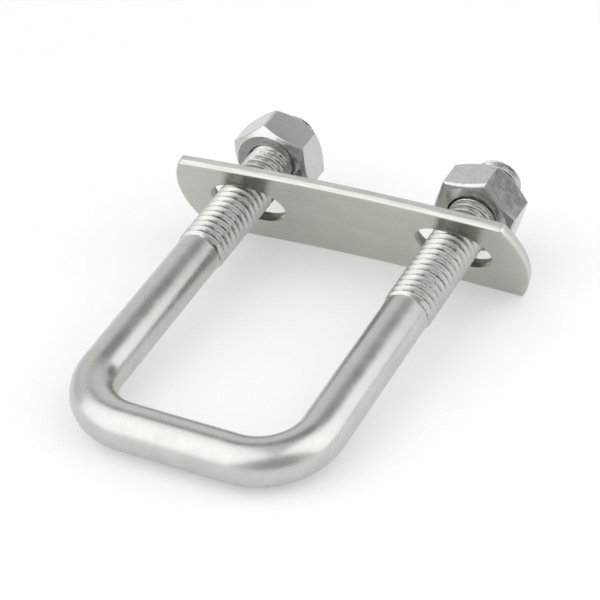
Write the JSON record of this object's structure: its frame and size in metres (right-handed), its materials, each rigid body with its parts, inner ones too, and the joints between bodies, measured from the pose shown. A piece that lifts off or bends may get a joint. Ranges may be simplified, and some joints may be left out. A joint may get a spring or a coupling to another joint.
{
  "type": "square u-bolt with clamp plate",
  "caption": "Square-bend U-bolt with threaded legs, a slotted clamp plate hanging loose on them, and hex nuts.",
  "frame": {"origin": "on the clamp plate's face towards the bend, midway between the legs and level with their axes", "axes": "+X across the legs from nut_left to nut_right, +Y along the legs from the bend to the threaded ends, +Z square to the plane of the U; the part lies flat as pictured"},
  "size_m": [0.0453, 0.0579, 0.0144],
  "materials": {
    "satin_stainless": "satin drawn stainless steel bar with rolled threads",
    "brushed_stainless": "stainless steel plate brushed along its length",
    "polished_stainless": "bright turned and tumbled stainless steel"
  },
  "bodies": {
    "u_bolt": {"u_bolt": "satin_stainless"},
    "clamp_plate": {"clamp_plate": "brushed_stainless"},
    "nut_left": {"nut_left": "polished_stainless"},
    "nut_right": {"nut_right": "polished_stainless"}
  },
  "joints": [
    {"name": "plate_slide", "type": "slide", "parent": "u_bolt", "child": "clamp_plate", "axis": [0, 1, 0], "range_m": [-0.017, 0.0025]},
    {"name": "nut_left_turn", "type": "hinge", "parent": "clamp_plate", "child": "nut_left", "pos_m": [-0.0138, 0.00937, 0], "axis": [0, 1, 0], "range_deg": [-6120, 900]},
    {"name": "nut_right_turn", "type": "hinge", "parent": "clamp_plate", "child": "nut_right", "pos_m": [0.0138, 0.00833, 0], "axis": [0, 1, 0], "range_deg": [-6120, 900]}
  ],
  "couplings": [
    {"joint": "nut_left_turn", "follows": "plate_slide", "rad_per_m": 6283.2},
    {"joint": "nut_right_turn", "follows": "plate_slide", "rad_per_m": 6283.2}
  ]
}
